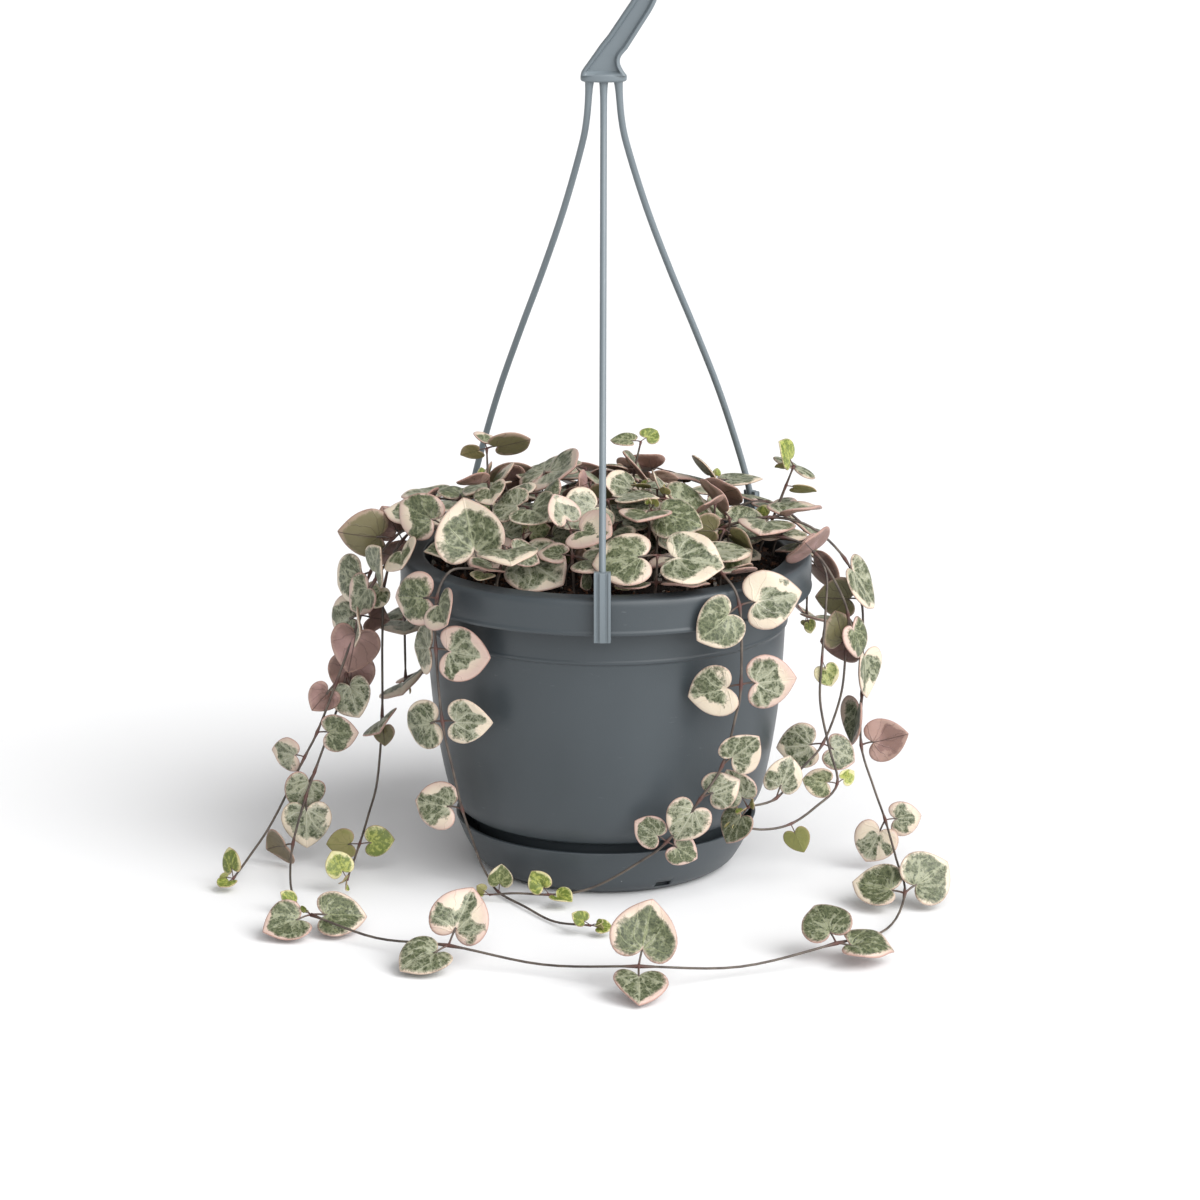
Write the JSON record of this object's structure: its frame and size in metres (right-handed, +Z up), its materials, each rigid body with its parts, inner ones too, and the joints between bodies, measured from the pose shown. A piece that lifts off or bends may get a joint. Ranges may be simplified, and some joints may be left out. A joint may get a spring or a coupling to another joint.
{
  "type": "potted plant",
  "caption": "Variegated string of hearts trailing from a round plastic hanging pot with a clip-on saucer, a three-strand hanger and a hook.",
  "frame": {"origin": "centre of the saucer's flat base, on the surface that it stands on", "axes": "+Z up, +X to the right and -Y towards the front, where the longest stem lies"},
  "size_m": [0.2452, 0.2412, 0.3181],
  "materials": {
    "pot_plastic": "satin",
    "hanger_plastic": "satin",
    "soil": "rough",
    "plant": "satin"
  },
  "bodies": {
    "root": {"hanger": "hanger_plastic", "pot": "pot_plastic", "saucer": "pot_plastic", "shoot_1": "plant", "shoot_10": "plant", "shoot_11": "plant", "shoot_12": "plant", "shoot_14": "plant", "shoot_15": "plant", "shoot_16": "plant", "shoot_17": "plant", "shoot_18": "plant", "shoot_2": "plant", "shoot_20": "plant", "shoot_21": "plant", "shoot_23": "plant", "shoot_24": "plant", "shoot_3": "plant", "shoot_4": "plant", "shoot_5": "plant", "shoot_6": "plant", "shoot_7": "plant", "shoot_8": "plant", "shoot_9": "plant", "soil": "soil", "vine_back_1": "plant", "vine_back_2": "plant", "vine_back_3": "plant", "vine_front_left": "plant", "vine_front_right": "plant", "vine_left_cluster": "plant", "vine_left_inner": "plant", "vine_left_outer": "plant", "vine_loop": "plant", "vine_right": "plant", "vine_sweep": "plant"}
  },
  "joints": []
}
